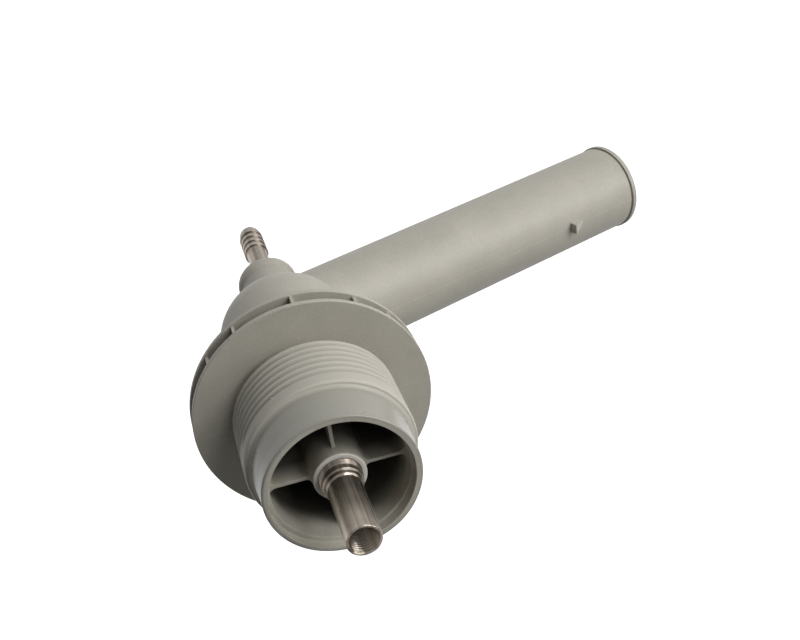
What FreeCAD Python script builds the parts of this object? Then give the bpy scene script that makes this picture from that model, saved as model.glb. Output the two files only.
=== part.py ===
"""Holder for the wash arm of a dishwasher.

One grey moulding carries a flange, a threaded collar, a nozzle with four webs and a hub, an elbow
with a domed back, and a long slanted feed tube. A steel rinse spindle stands in the hub and a steel
hose tail stands in the boss at the back, each sealed by a rubber ring round its stem. Lengths are in
millimetres. +Z is the spindle's axis, +X is the side that the feed tube leaves on, and the origin is
on the flange's seating face.
"""
import FreeCAD, Part
import Sketcher
import math
import os

doc = FreeCAD.newDocument("WashArmHolder")
sheet = doc.addObject("Spreadsheet::Sheet", "Sizes")

# Driving sizes: name, value, what it is.
SIZES = [
    ("flange_radius", 50.0, "radius of the two flange discs"),
    ("disc_thickness", 2.3, "thickness of each flange disc"),
    ("disc_gap", 6.2, "space between the two discs"),
    ("rib_thickness", 1.3, "thickness of the ribs between the discs"),
    ("side_rib_place", 24.8, "distance of the side ribs from the middle"),
    ("edge_rib_place", 37.4, "distance of the edge ribs from the middle"),
    ("rib_setback", 0.3, "how far the ribs stay inside the discs' edge"),
    ("collar_radius", 34.4, "crest radius of the threaded collar"),
    ("relief_radius", 31.0, "radius of the relief under the thread"),
    ("relief_height", 3.8, "height of the relief above the flange"),
    ("collar_height", 34.2, "top of the smooth band above the flange"),
    ("shoulder_dip", 1.8, "how far the ledge inside the band falls towards the nozzle"),
    ("thread_pitch", 4.0, "pitch of the collar thread"),
    ("thread_turns", 5.85, "turns cut, the first one in the relief"),
    ("thread_start", 3.7, "height of the groove's middle where it starts"),
    ("thread_angle", 210.0, "place of that start round the collar, in degrees from +X"),
    ("thread_depth", 1.1, "depth of the thread groove"),
    ("thread_mouth", 3.15, "width of the groove at the crest"),
    ("thread_root", 1.7, "width of the groove at its root"),
    ("nozzle_radius", 30.9, "outer radius of the nozzle"),
    ("nozzle_foot", 31.8, "outer radius of the nozzle at its foot"),
    ("nozzle_taper_end", 46.7, "height at which the nozzle's taper ends"),
    ("nozzle_height", 53.3, "height of the nozzle's rim above the flange"),
    ("rim_chamfer", 0.6, "chamfer on the rim's outer edge"),
    ("mouth_radius", 27.9, "radius of the counterbore inside the rim"),
    ("mouth_depth", 4.4, "depth of the counterbore"),
    ("bore_radius", 27.0, "radius of the water way below the ledge"),
    ("notch_radius", 29.2, "outer radius of the recess in the rim"),
    ("notch_angle", 90.0, "angle that the rim's recess covers, in degrees"),
    ("elbow_radius", 31.0, "outer radius of the elbow and its dome"),
    ("elbow_wall", 3.0, "wall of the elbow"),
    ("dome_drop", 59.2, "depth of the dome's centre below the flange face"),
    ("boss_radius", 13.2, "radius of the rear boss"),
    ("boss_depth", 118.0, "depth of the boss's end below the flange face"),
    ("bead_radius", 14.7, "radius of the rim on the boss"),
    ("bead_height", 3.7, "height of the rim on the boss"),
    ("bead_slope", 2.4, "height of the slope from that rim to the boss"),
    ("tube_radius", 22.0, "outer radius of the feed tube"),
    ("tube_wall", 3.0, "wall of the feed tube"),
    ("tube_drop", 67.9, "depth at which the tube's axis crosses the spindle's"),
    ("tube_tilt", 19.5, "slope of the tube below the flange plane, in degrees"),
    ("tube_length", 204.2, "length of the tube from the spindle's axis"),
    ("end_bead_radius", 22.6, "radius of the bead at the tube's end"),
    ("end_bead_length", 2.6, "length of the bead at the tube's end"),
    ("end_groove_width", 0.9, "width of the groove beside that bead"),
    ("end_groove_depth", 0.6, "depth of the groove beside that bead"),
    ("lug_place", 157.5, "distance of the lug's steep face along the tube"),
    ("lug_length", 8.0, "length of the lug's ramp"),
    ("lug_width", 5.7, "width of the lug"),
    ("lug_height", 4.5, "height of the lug above the tube"),
    ("hub_radius", 10.5, "radius of the hub at its front"),
    ("hub_chamfer", 0.6, "chamfer on the hub's front edge"),
    ("hub_drop", 5.6, "depth of the hub's front face below the nozzle's rim"),
    ("duct_radius", 11.4, "radius of the duct that carries the hub"),
    ("duct_taper_end", 16.5, "height at which the hub's taper meets the duct"),
    ("duct_bore", 3.6, "radius of the rinse way through the duct"),
    ("web_thickness", 1.5, "thickness of the webs that hold the hub"),
    ("web_drop", 10.4, "depth of the webs' front edges below the nozzle's rim"),
    ("web_height", 37.0, "height of the webs along the water way"),
    ("web_count", 4, "number of webs"),
    ("seat_depth", 6.0, "depth of the spindle's seat in the hub"),
    ("fit_clearance", 0.1, "radial clearance round the steel stems"),
    ("spindle_radius", 6.7, "outer radius of the spindle"),
    ("spindle_reach", 37.4, "height of the spindle above the hub"),
    ("spindle_shoulder", 8.5, "radius of the spindle's shoulder"),
    ("shoulder_height", 2.3, "height of the shoulder above the hub"),
    ("step_radius", 8.1, "radius of the step above the shoulder"),
    ("step_height", 5.1, "height of that step's top above the hub"),
    ("cone_radius", 7.2, "radius at the top of the cone above the step"),
    ("cone_height", 7.6, "height of the cone's top above the hub"),
    ("stem_radius", 6.0, "radius of the spindle's stem in the hub"),
    ("stem_length", 19.0, "length of that stem below its seat"),
    ("seal_cord", 0.75, "radius of the seals' round section"),
    ("seal_groove_width", 2.0, "width of the grooves that the seals lie in"),
    ("seal_slack", 0.02, "radial space on each side of a seal"),
    ("spindle_seal_depth", 6.0, "depth of the spindle's seal below its seat"),
    ("tail_seal_depth", 7.0, "depth of the tail's seal inside the boss"),
    ("tip_bore", 5.5, "radius of the threaded hole in the spindle's tip"),
    ("tip_bore_depth", 18.0, "depth of the threaded hole"),
    ("tip_chamfer", 0.5, "chamfer on the spindle's tip"),
    ("tail_stem_radius", 6.0, "radius of the hose tail's stem in the boss"),
    ("tail_stem_length", 20.0, "length of that stem"),
    ("tail_radius", 5.15, "radius of the hose tail's neck"),
    ("tail_bore", 3.4, "radius of the way through the hose tail"),
    ("neck_length", 35.1, "length of the plain neck behind the boss"),
    ("barb_radius", 6.3, "crest radius of the barbs"),
    ("barb_foot", 5.6, "radius between the barbs"),
    ("barb_pitch", 5.7, "distance from barb to barb"),
    ("tail_flare", 2.4, "length of the neck's flare before the first barb"),
    ("tail_tip_length", 9.6, "length of the last barb and the tip"),
    ("tail_tip_radius", 4.0, "radius at the tip's end"),
]

# Sizes that follow from the driving sizes: name, formula.
DERIVED = [
    ("zero", "0"),
    ("cut_margin", "1"),
    ("gap_top", "-disc_thickness"),
    ("gap_bottom", "-disc_thickness - disc_gap"),
    ("flange_back", "-2 * disc_thickness - disc_gap"),
    ("rib_sink", "disc_thickness / 4"),
    ("rib_floor", "gap_bottom - rib_sink"),
    ("rib_height", "disc_gap + 2 * rib_sink"),
    ("rib_half", "rib_thickness / 2"),
    ("rib_reach", "flange_radius - rib_setback"),
    ("side_rib_inner", "side_rib_place - rib_half"),
    ("side_rib_outer", "side_rib_place + rib_half"),
    ("edge_rib_inner", "edge_rib_place - rib_half"),
    ("edge_rib_outer", "edge_rib_place + rib_half"),
    ("mid_rib_end", "sqrt(rib_reach ^ 2 - rib_half ^ 2)"),
    ("side_rib_end", "sqrt(rib_reach ^ 2 - side_rib_outer ^ 2)"),
    ("edge_rib_end", "sqrt(rib_reach ^ 2 - edge_rib_outer ^ 2)"),
    ("ledge_floor", "collar_height - shoulder_dip"),
    ("hub_front", "nozzle_height - hub_drop"),
    ("web_top", "nozzle_height - web_drop"),
    ("rim_inner_edge", "nozzle_radius - rim_chamfer"),
    ("rim_edge_height", "nozzle_height - rim_chamfer"),
    ("above_rim", "nozzle_height + cut_margin"),
    ("ledge", "nozzle_height - mouth_depth"),
    ("notch_inner", "mouth_radius - cut_margin"),
    ("dome_centre", "-dome_drop"),
    ("chamber_radius", "elbow_radius - elbow_wall"),
    ("chamber_top", "flange_back - 2 * (chamber_radius - bore_radius)"),
    ("boss_end", "-boss_depth"),
    ("bead_top", "-boss_depth + bead_height"),
    ("bead_foot", "bead_top + bead_slope"),
    ("below_boss", "-boss_depth - cut_margin"),
    ("tube_bore", "tube_radius - tube_wall"),
    ("tube_past", "tube_length + cut_margin"),
    ("end_bead_place", "tube_length - end_bead_length"),
    ("end_groove_place", "end_bead_place - end_groove_width"),
    ("end_groove_radius", "tube_radius - end_groove_depth"),
    ("lug_base", "tube_radius - tube_wall / 3"),
    ("lug_top", "tube_radius + lug_height"),
    ("lug_end", "lug_place + lug_length"),
    ("hub_edge", "hub_radius - hub_chamfer"),
    ("hub_edge_height", "hub_front - hub_chamfer"),
    ("duct_foot", "-boss_depth + tail_stem_length"),
    ("web_half", "web_thickness / 2"),
    ("web_inner", "hub_radius - 2 * web_thickness"),
    ("web_outer", "bore_radius + web_thickness"),
    ("web_foot", "web_top - web_height"),
    ("above_hub", "hub_front + cut_margin"),
    ("seat_radius", "spindle_shoulder + fit_clearance"),
    ("seat_floor", "hub_front - seat_depth"),
    ("stem_socket", "stem_radius + fit_clearance"),
    ("stem_floor", "seat_floor - stem_length - cut_margin / 2"),
    ("tail_socket", "tail_stem_radius + fit_clearance"),
    ("tail_floor", "-boss_depth + tail_stem_length"),
    ("thread_root_radius", "collar_radius - thread_depth"),
    ("thread_outer", "collar_radius + thread_depth"),
    ("mouth_half", "thread_mouth / 2 + (thread_mouth - thread_root) / 2"),
    ("root_half", "thread_root / 2"),
    ("groove_low_out", "thread_start - mouth_half"),
    ("groove_high_out", "thread_start + mouth_half"),
    ("groove_low_in", "thread_start - root_half"),
    ("groove_high_in", "thread_start + root_half"),
    ("spindle_tip", "spindle_reach"),
    ("spindle_tip_edge", "spindle_reach - tip_chamfer"),
    ("spindle_tip_radius", "spindle_radius - tip_chamfer"),
    ("tip_bore_mouth", "tip_bore + tip_chamfer"),
    ("tip_bore_floor", "spindle_reach - tip_bore_depth"),
    ("spindle_seat", "-seat_depth"),
    ("stem_end", "-seat_depth - stem_length"),
    ("spindle_seal_middle", "-seat_depth - spindle_seal_depth"),
    ("spindle_groove_low", "spindle_seal_middle - seal_groove_width / 2"),
    ("spindle_groove_high", "spindle_seal_middle + seal_groove_width / 2"),
    ("spindle_groove_radius", "stem_socket - 2 * seal_cord - 2 * seal_slack"),
    ("spindle_seal_radius", "stem_socket - seal_cord - seal_slack"),
    ("tail_groove_low", "tail_seal_depth - seal_groove_width / 2"),
    ("tail_groove_high", "tail_seal_depth + seal_groove_width / 2"),
    ("tail_groove_radius", "tail_socket - 2 * seal_cord - 2 * seal_slack"),
    ("tail_seal_radius", "tail_socket - seal_cord - seal_slack"),
    ("tail_neck_end", "-neck_length"),
    ("flare_start", "-neck_length + tail_flare"),
    ("barb_two", "-neck_length - barb_pitch"),
    ("barb_three", "-neck_length - 2 * barb_pitch"),
    ("barb_four", "-neck_length - 3 * barb_pitch"),
    ("last_barb_end", "barb_four - 0.15 * tail_tip_length"),
    ("tip_shoulder", "barb_four - 0.75 * tail_tip_length"),
    ("tip_shoulder_radius", "tail_tip_radius + 0.6 * (barb_radius - tail_tip_radius)"),
    ("tail_end", "barb_four - tail_tip_length"),
]

row = 1
for name, value, note in SIZES:
    sheet.set("A%d" % row, name)
    sheet.set("B%d" % row, str(value))
    sheet.set("C%d" % row, note)
    sheet.setAlias("B%d" % row, name)
    row += 1
for name, formula in DERIVED:
    sheet.set("A%d" % row, name)
    sheet.set("B%d" % row, "=" + formula)
    sheet.setAlias("B%d" % row, name)
    row += 1
doc.recompute()


def size(name):
    """Value of a size; a leading minus gives its negative."""
    if name.startswith("-"):
        return -float(sheet.get(name[1:]))
    return float(sheet.get(name))


def link(name):
    """Expression that binds a property to a size."""
    if name.startswith("-"):
        return "-Sizes." + name[1:]
    return "Sizes." + name


def bind(feature, prop, name):
    feature.setExpression(prop, link(name))


def new_body(label):
    body = doc.addObject("PartDesign::Body", label)
    body.Label = label
    return body


def plane(body, role):
    for item in body.Origin.OriginFeatures:
        if item.Role == role:
            return item
    raise RuntimeError("no plane " + role)


def new_sketch(body, name, role="XZ_Plane"):
    sketch = body.newObject("Sketcher::SketchObject", name)
    sketch.AttachmentSupport = (plane(body, role), [""])
    sketch.MapMode = "FlatFace"
    return sketch


def tube_sketch(body, name):
    """Sketch in the XZ plane whose x axis runs along the feed tube."""
    sketch = new_sketch(body, name)
    sketch.AttachmentOffset = FreeCAD.Placement(
        FreeCAD.Vector(0, -size("tube_drop"), 0),
        FreeCAD.Rotation(FreeCAD.Vector(0, 0, -1), size("tube_tilt")))
    bind(sketch, ".AttachmentOffset.Base.y", "-tube_drop")
    bind(sketch, ".AttachmentOffset.Rotation.Angle", "tube_tilt")
    return sketch


def fix(sketch, kind, geometry, point, name):
    """Places one coordinate of a point from the sketch's origin, bound to a size."""
    value = size(name)
    number = sketch.addConstraint(Sketcher.Constraint(kind, -1, 1, geometry, point, value))
    sketch.setExpression("Constraints[%d]" % number, link(name))


def outline(sketch, points, arcs=None):
    """Closed profile through points, each a pair of size names.

    arcs maps the number of a segment to the pair of sizes of its centre. A point whose second name is
    None lies where the arc that ends in it meets its first coordinate, below the centre.
    """
    arcs = arcs or {}
    count = len(points)
    places = []
    for index, (across, along) in enumerate(points):
        x = size(across)
        if along is None:
            centre = arcs[index - 1]
            start = places[index - 1]
            radius = math.hypot(start[0] - size(centre[0]), start[1] - size(centre[1]))
            y = size(centre[1]) - math.sqrt(radius ** 2 - (x - size(centre[0])) ** 2)
        else:
            y = size(along)
        places.append((x, y))
    first = sketch.GeometryCount
    ends = []
    for index in range(count):
        x0, y0 = places[index]
        x1, y1 = places[(index + 1) % count]
        if index in arcs:
            cx, cy = size(arcs[index][0]), size(arcs[index][1])
            circle = Part.Circle(FreeCAD.Vector(cx, cy, 0), FreeCAD.Vector(0, 0, 1),
                                 math.hypot(x0 - cx, y0 - cy))
            angle_a = math.atan2(y1 - cy, x1 - cx)
            angle_b = math.atan2(y0 - cy, x0 - cx)
            sketch.addGeometry(Part.ArcOfCircle(circle, angle_a, angle_b), False)
            ends.append((2, 1))
        else:
            segment = Part.LineSegment(FreeCAD.Vector(x0, y0, 0), FreeCAD.Vector(x1, y1, 0))
            sketch.addGeometry(segment, False)
            ends.append((1, 2))
    for index in range(count):
        following = (index + 1) % count
        sketch.addConstraint(Sketcher.Constraint(
            "Coincident", first + index, ends[index][1], first + following, ends[following][0]))
    for index, (across, along) in enumerate(points):
        fix(sketch, "DistanceX", first + index, ends[index][0], across)
        if along is not None:
            fix(sketch, "DistanceY", first + index, ends[index][0], along)
    for index, centre in arcs.items():
        fix(sketch, "DistanceX", first + index, 3, centre[0])
        fix(sketch, "DistanceY", first + index, 3, centre[1])
    return sketch


def box_outline(sketch, left, right, low, high):
    return outline(sketch, [(left, low), (right, low), (right, high), (left, high)])


def turn(body, name, sketch, cut=False, axis="V_Axis", angle=None):
    """Revolves a sketch about one of its own axes, to add or to cut."""
    kind = "PartDesign::Groove" if cut else "PartDesign::Revolution"
    feature = body.newObject(kind, name)
    feature.Profile = sketch
    feature.ReferenceAxis = (sketch, [axis])
    feature.Angle = 360
    if angle:
        bind(feature, "Angle", angle)
    sketch.Visibility = False
    return feature


def pad(body, name, sketch, length, middle=False):
    feature = body.newObject("PartDesign::Pad", name)
    feature.Profile = sketch
    feature.Midplane = middle
    bind(feature, "Length", length)
    sketch.Visibility = False
    return feature


def make_moulding():
    """The one grey moulding: flange, collar, nozzle, elbow, boss, feed tube, hub and webs."""
    body = new_body("holder_body")

    outside = outline(new_sketch(body, "OutsideProfile"), [
        ("zero", "nozzle_height"),
        ("rim_inner_edge", "nozzle_height"),
        ("nozzle_radius", "rim_edge_height"),
        ("nozzle_radius", "nozzle_taper_end"),
        ("nozzle_foot", "ledge_floor"),
        ("collar_radius", "collar_height"),
        ("collar_radius", "relief_height"),
        ("relief_radius", "relief_height"),
        ("relief_radius", "zero"),
        ("flange_radius", "zero"),
        ("flange_radius", "gap_top"),
        ("elbow_radius", "gap_top"),
        ("elbow_radius", "gap_bottom"),
        ("flange_radius", "gap_bottom"),
        ("flange_radius", "flange_back"),
        ("elbow_radius", "flange_back"),
        ("elbow_radius", "dome_centre"),
        ("boss_radius", None),
        ("boss_radius", "bead_foot"),
        ("bead_radius", "bead_top"),
        ("bead_radius", "boss_end"),
        ("zero", "boss_end"),
    ], arcs={16: ("zero", "dome_centre")})
    turn(body, "Outside", outside)

    ribs = new_sketch(body, "RibPlan", "XY_Plane")
    bind(ribs, ".AttachmentOffset.Base.z", "rib_floor")
    box_outline(ribs, "-rib_half", "rib_half", "-mid_rib_end", "mid_rib_end")
    box_outline(ribs, "side_rib_inner", "side_rib_outer", "-side_rib_end", "side_rib_end")
    box_outline(ribs, "-side_rib_outer", "-side_rib_inner", "-side_rib_end", "side_rib_end")
    box_outline(ribs, "edge_rib_inner", "edge_rib_outer", "-edge_rib_end", "edge_rib_end")
    box_outline(ribs, "-edge_rib_outer", "-edge_rib_inner", "-edge_rib_end", "edge_rib_end")
    pad(body, "Ribs", ribs, "rib_height")

    tube = outline(tube_sketch(body, "TubeProfile"), [
        ("zero", "zero"),
        ("zero", "tube_radius"),
        ("end_groove_place", "tube_radius"),
        ("end_groove_place", "end_groove_radius"),
        ("end_bead_place", "end_groove_radius"),
        ("end_bead_place", "end_bead_radius"),
        ("tube_length", "end_bead_radius"),
        ("tube_length", "zero"),
    ])
    turn(body, "Tube", tube, axis="H_Axis")

    lug = outline(tube_sketch(body, "LugProfile"), [
        ("lug_place", "lug_base"),
        ("lug_end", "lug_base"),
        ("lug_end", "tube_radius"),
        ("lug_place", "lug_top"),
    ])
    pad(body, "Lug", lug, "lug_width", middle=True)

    chamber = outline(new_sketch(body, "WaterWayProfile"), [
        ("zero", "above_rim"),
        ("mouth_radius", "above_rim"),
        ("mouth_radius", "ledge"),
        ("bore_radius", "ledge"),
        ("bore_radius", "flange_back"),
        ("chamber_radius", "chamber_top"),
        ("chamber_radius", "dome_centre"),
        ("zero", None),
    ], arcs={6: ("zero", "dome_centre")})
    turn(body, "WaterWay", chamber, cut=True)

    bore = box_outline(tube_sketch(body, "TubeBoreProfile"), "zero", "tube_past", "zero", "tube_bore")
    turn(body, "TubeBore", bore, cut=True, axis="H_Axis")

    duct = outline(new_sketch(body, "DuctProfile"), [
        ("zero", "hub_front"),
        ("hub_edge", "hub_front"),
        ("hub_radius", "hub_edge_height"),
        ("duct_radius", "duct_taper_end"),
        ("duct_radius", "duct_foot"),
        ("zero", "duct_foot"),
    ])
    turn(body, "Duct", duct)

    web = new_sketch(body, "WebPlan", "XY_Plane")
    bind(web, ".AttachmentOffset.Base.z", "web_foot")
    box_outline(web, "web_inner", "web_outer", "-web_half", "web_half")
    first_web = pad(body, "Web", web, "web_height")
    webs = body.newObject("PartDesign::PolarPattern", "Webs")
    webs.Originals = [first_web]
    webs.Axis = (web, ["N_Axis"])
    webs.Angle = 360
    bind(webs, "Occurrences", "web_count")
    body.Tip = webs

    rinse = outline(new_sketch(body, "RinseWayProfile"), [
        ("zero", "above_hub"),
        ("seat_radius", "above_hub"),
        ("seat_radius", "seat_floor"),
        ("stem_socket", "seat_floor"),
        ("stem_socket", "stem_floor"),
        ("duct_bore", "stem_floor"),
        ("duct_bore", "tail_floor"),
        ("tail_socket", "tail_floor"),
        ("tail_socket", "below_boss"),
        ("zero", "below_boss"),
    ])
    turn(body, "RinseWay", rinse, cut=True)

    notch = box_outline(new_sketch(body, "NotchProfile"), "-notch_radius", "-notch_inner", "ledge", "above_rim")
    turn(body, "RimNotch", notch, cut=True, angle="notch_angle")

    section = new_sketch(body, "ThreadProfile")
    section.AttachmentOffset = FreeCAD.Placement(
        FreeCAD.Vector(), FreeCAD.Rotation(FreeCAD.Vector(0, 1, 0), size("thread_angle")))
    bind(section, ".AttachmentOffset.Rotation.Angle", "thread_angle")
    groove = outline(section, [
        ("thread_root_radius", "groove_low_in"),
        ("thread_outer", "groove_low_out"),
        ("thread_outer", "groove_high_out"),
        ("thread_root_radius", "groove_high_in"),
    ])
    thread = body.newObject("PartDesign::SubtractiveHelix", "Thread")
    thread.Profile = groove
    thread.ReferenceAxis = (groove, ["V_Axis"])
    thread.Mode = "pitch-turns-angle"
    bind(thread, "Pitch", "thread_pitch")
    bind(thread, "Turns", "thread_turns")
    groove.Visibility = False
    return body


def place_at(body, height):
    body.Placement = FreeCAD.Placement(FreeCAD.Vector(0, 0, size(height)), FreeCAD.Rotation())
    bind(body, ".Placement.Base.z", height)


def make_spindle():
    """The steel spindle that the rinse arm turns on, seated in the hub."""
    body = new_body("rinse_spindle")
    place_at(body, "hub_front")
    profile = outline(new_sketch(body, "SpindleProfile"), [
        ("duct_bore", "stem_end"),
        ("stem_radius", "stem_end"),
        ("stem_radius", "spindle_groove_low"),
        ("spindle_groove_radius", "spindle_groove_low"),
        ("spindle_groove_radius", "spindle_groove_high"),
        ("stem_radius", "spindle_groove_high"),
        ("stem_radius", "spindle_seat"),
        ("spindle_shoulder", "spindle_seat"),
        ("spindle_shoulder", "shoulder_height"),
        ("step_radius", "shoulder_height"),
        ("step_radius", "step_height"),
        ("cone_radius", "cone_height"),
        ("spindle_radius", "cone_height"),
        ("spindle_radius", "spindle_tip_edge"),
        ("spindle_tip_radius", "spindle_tip"),
        ("tip_bore", "spindle_tip"),
        ("tip_bore", "tip_bore_floor"),
        ("duct_bore", "tip_bore_floor"),
    ])
    turn(body, "Spindle", profile)
    return body


def make_hose_tail():
    """The steel tail that the rinse hose is pushed on, seated in the rear boss."""
    body = new_body("hose_tail")
    place_at(body, "boss_end")
    profile = outline(new_sketch(body, "TailProfile"), [
        ("tail_bore", "tail_stem_length"),
        ("tail_bore", "tail_end"),
        ("tail_tip_radius", "tail_end"),
        ("tip_shoulder_radius", "tip_shoulder"),
        ("barb_radius", "last_barb_end"),
        ("barb_radius", "barb_four"),
        ("barb_foot", "barb_four"),
        ("barb_radius", "barb_three"),
        ("barb_foot", "barb_three"),
        ("barb_radius", "barb_two"),
        ("barb_foot", "barb_two"),
        ("barb_radius", "tail_neck_end"),
        ("barb_foot", "tail_neck_end"),
        ("tail_radius", "flare_start"),
        ("tail_radius", "zero"),
        ("tail_stem_radius", "zero"),
        ("tail_stem_radius", "tail_groove_low"),
        ("tail_groove_radius", "tail_groove_low"),
        ("tail_groove_radius", "tail_groove_high"),
        ("tail_stem_radius", "tail_groove_high"),
        ("tail_stem_radius", "tail_stem_length"),
    ])
    turn(body, "Tail", profile)
    return body


def make_seal(label, height, ring_radius, middle):
    """A rubber ring of round section in a stem's groove."""
    body = new_body(label)
    place_at(body, height)
    sketch = new_sketch(body, "SealSection")
    centre = FreeCAD.Vector(size(ring_radius), size(middle), 0)
    sketch.addGeometry(Part.Circle(centre, FreeCAD.Vector(0, 0, 1), size("seal_cord")), False)
    fix(sketch, "DistanceX", 0, 3, ring_radius)
    fix(sketch, "DistanceY", 0, 3, middle)
    number = sketch.addConstraint(Sketcher.Constraint("Radius", 0, size("seal_cord")))
    sketch.setExpression("Constraints[%d]" % number, link("seal_cord"))
    turn(body, "Seal", sketch)
    return body


bodies = [
    make_moulding(),
    make_spindle(),
    make_seal("spindle_seal", "hub_front", "spindle_seal_radius", "spindle_seal_middle"),
    make_hose_tail(),
    make_seal("tail_seal", "boss_end", "tail_seal_radius", "tail_seal_depth"),
]
doc.recompute()

for item in doc.Objects:
    if "Invalid" in item.State or "Error" in item.State:
        raise RuntimeError("%s did not build: %s" % (item.Label, item.State))

os.makedirs("parts", exist_ok=True)
for body in bodies:
    shape = body.Shape
    if shape.isNull() or not shape.isValid() or len(shape.Solids) != 1:
        raise RuntimeError("%s is not one valid solid" % body.Label)
    box = shape.BoundBox
    print("%s volume %.1f cm3, box %.1f x %.1f x %.1f mm"
          % (body.Label, shape.Volume / 1000, box.XLength, box.YLength, box.ZLength))
    shape.exportStep("parts/%s.step" % body.Label)
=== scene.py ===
# %% [markdown]
# A holder for a dishwasher's wash arm, lying in space as in a catalogue picture.
# On the real object one grey moulding carries a flange, a threaded collar, a nozzle, a domed elbow
# and a long slanted feed tube. Two polished steel parts, a spindle and a barbed tail, sit in it.
# The frame gives the true sizes. We load it first, so that every piece made here can follow it.

# %% Load the fixed frame
import math
from functools import partial

import bmesh
import bpy
from mathutils import Matrix, Vector


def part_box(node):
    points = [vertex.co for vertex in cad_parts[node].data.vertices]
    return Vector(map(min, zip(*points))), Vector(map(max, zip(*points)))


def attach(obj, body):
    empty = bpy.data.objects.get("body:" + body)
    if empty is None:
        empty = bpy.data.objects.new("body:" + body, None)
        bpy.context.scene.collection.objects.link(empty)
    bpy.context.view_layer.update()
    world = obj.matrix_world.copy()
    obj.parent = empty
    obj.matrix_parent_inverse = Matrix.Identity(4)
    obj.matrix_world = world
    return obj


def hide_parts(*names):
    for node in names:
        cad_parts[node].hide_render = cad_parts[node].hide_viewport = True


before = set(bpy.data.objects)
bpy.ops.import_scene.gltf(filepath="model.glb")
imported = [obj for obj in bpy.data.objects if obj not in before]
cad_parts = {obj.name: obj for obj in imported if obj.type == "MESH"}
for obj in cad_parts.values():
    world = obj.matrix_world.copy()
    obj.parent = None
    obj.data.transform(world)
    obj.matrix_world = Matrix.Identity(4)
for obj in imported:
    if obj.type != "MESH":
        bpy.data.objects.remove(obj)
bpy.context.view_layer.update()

MM = 0.001

# %% [markdown]
# Sizes are in millimetres and in the frame's own directions: Z is the spindle's axis and the flange's
# seating face is at height 0. The flange's radius, the nozzle's height, the spindle's tip and the
# tail's end are read from the frame. Sizes that several pieces or materials share come first, and the
# others stand with the piece that needs them.

# %% Name the shared sizes
body_low, body_high = (Vector(corner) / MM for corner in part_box("holder_body"))
spindle_low, spindle_high = (Vector(corner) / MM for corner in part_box("rinse_spindle"))
tail_low, tail_high = (Vector(corner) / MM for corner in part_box("hose_tail"))

FLANGE_RADIUS = body_high.y
NOZZLE_TOP = body_high.z
SPINDLE_TIP = spindle_high.z
TAIL_END = tail_low.z

COLLAR_RADIUS = 34.4
COLLAR_TOP = 34.6
RELIEF_TOP = 3.8
THREAD_TOP = 29.4
COVE_RADIUS = 33.0
COVE_HEIGHT = 1.8
NOZZLE_RADIUS = 30.9
BORE_RADIUS = 27.2
HUB_RADIUS = 10.5
HUB_FRONT = NOZZLE_TOP - 5.6
WEB_TOP = NOZZLE_TOP - 10.4
print("flange radius", round(FLANGE_RADIUS, 2), "nozzle top", round(NOZZLE_TOP, 2),
      "spindle tip", round(SPINDLE_TIP, 2))

# %% [markdown]
# Turned and moulded round parts are all one idea: a profile that goes once round an axis. A profile
# here is a list of corners, each with the radius of its rounding, because no moulded or turned edge
# is truly sharp and the small roundings are what catch the light.

# %% Profile helpers
def rounded(corners, steps=4):
    """Profile with each corner (radius, height, rounding) replaced by a small arc."""
    path = []
    count = len(corners)
    for index in range(count):
        before = Vector(corners[index - 1][:2])
        here = Vector(corners[index][:2])
        after = Vector(corners[(index + 1) % count][:2])
        rounding = corners[index][2] if len(corners[index]) > 2 else 0
        if rounding <= 0:
            path.append(here)
            continue
        to_before, to_after = before - here, after - here
        half = to_before.angle(to_after) / 2
        reach = min(rounding / math.tan(half), 0.48 * to_before.length, 0.48 * to_after.length)
        radius = reach * math.tan(half)
        middle = (to_before.normalized() + to_after.normalized()).normalized()
        centre = here + middle * radius / math.sin(half)
        start = here + to_before.normalized() * reach
        end = here + to_after.normalized() * reach
        for step in range(steps + 1):
            arm = (start - centre).lerp(end - centre, step / steps)
            path.append(centre + arm.normalized() * radius)
    return path


def arc(centre, radius, first, last, steps):
    """Points along an arc about (radius, height), between two angles in degrees."""
    points = []
    for step in range(steps + 1):
        angle = math.radians(first + (last - first) * step / steps)
        points.append(Vector((centre[0] + radius * math.cos(angle), centre[1] + radius * math.sin(angle))))
    return points


def rise(radius, low, high, step):
    """Closely spaced points up a wall, for a surface that a thread is pressed into."""
    count = round(abs(high - low) / step)
    return [(radius, low + (high - low) * index / count) for index in range(1, count)]


# %% [markdown]
# A lathe helper turns such a profile into a mesh. The others cut, round, join and shade meshes, and
# bake every modifier at once, so that each piece is a plain mesh by the time it is handed over.

# %% Lathe and mesh helpers
SHELL_AROUND = 256
TUBE_AROUND = 192
SMALL_AROUND = 128
CUTTER_AROUND = 96


def in_scene(name, data):
    thing = bpy.data.objects.new(name, data)
    bpy.context.scene.collection.objects.link(thing)
    return thing


def as_object(name, mesh):
    data = bpy.data.meshes.new(name)
    mesh.to_mesh(data)
    mesh.free()
    return in_scene(name, data)


def round_point(radius, angle, height):
    return (radius * math.cos(angle) * MM, radius * math.sin(angle) * MM, height * MM)


def bridge(mesh, lower, upper):
    """Faces between two rings with the same number of points."""
    for index in range(len(lower)):
        following = (index + 1) % len(lower)
        mesh.faces.new((lower[index], lower[following], upper[following], upper[index]))


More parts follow.
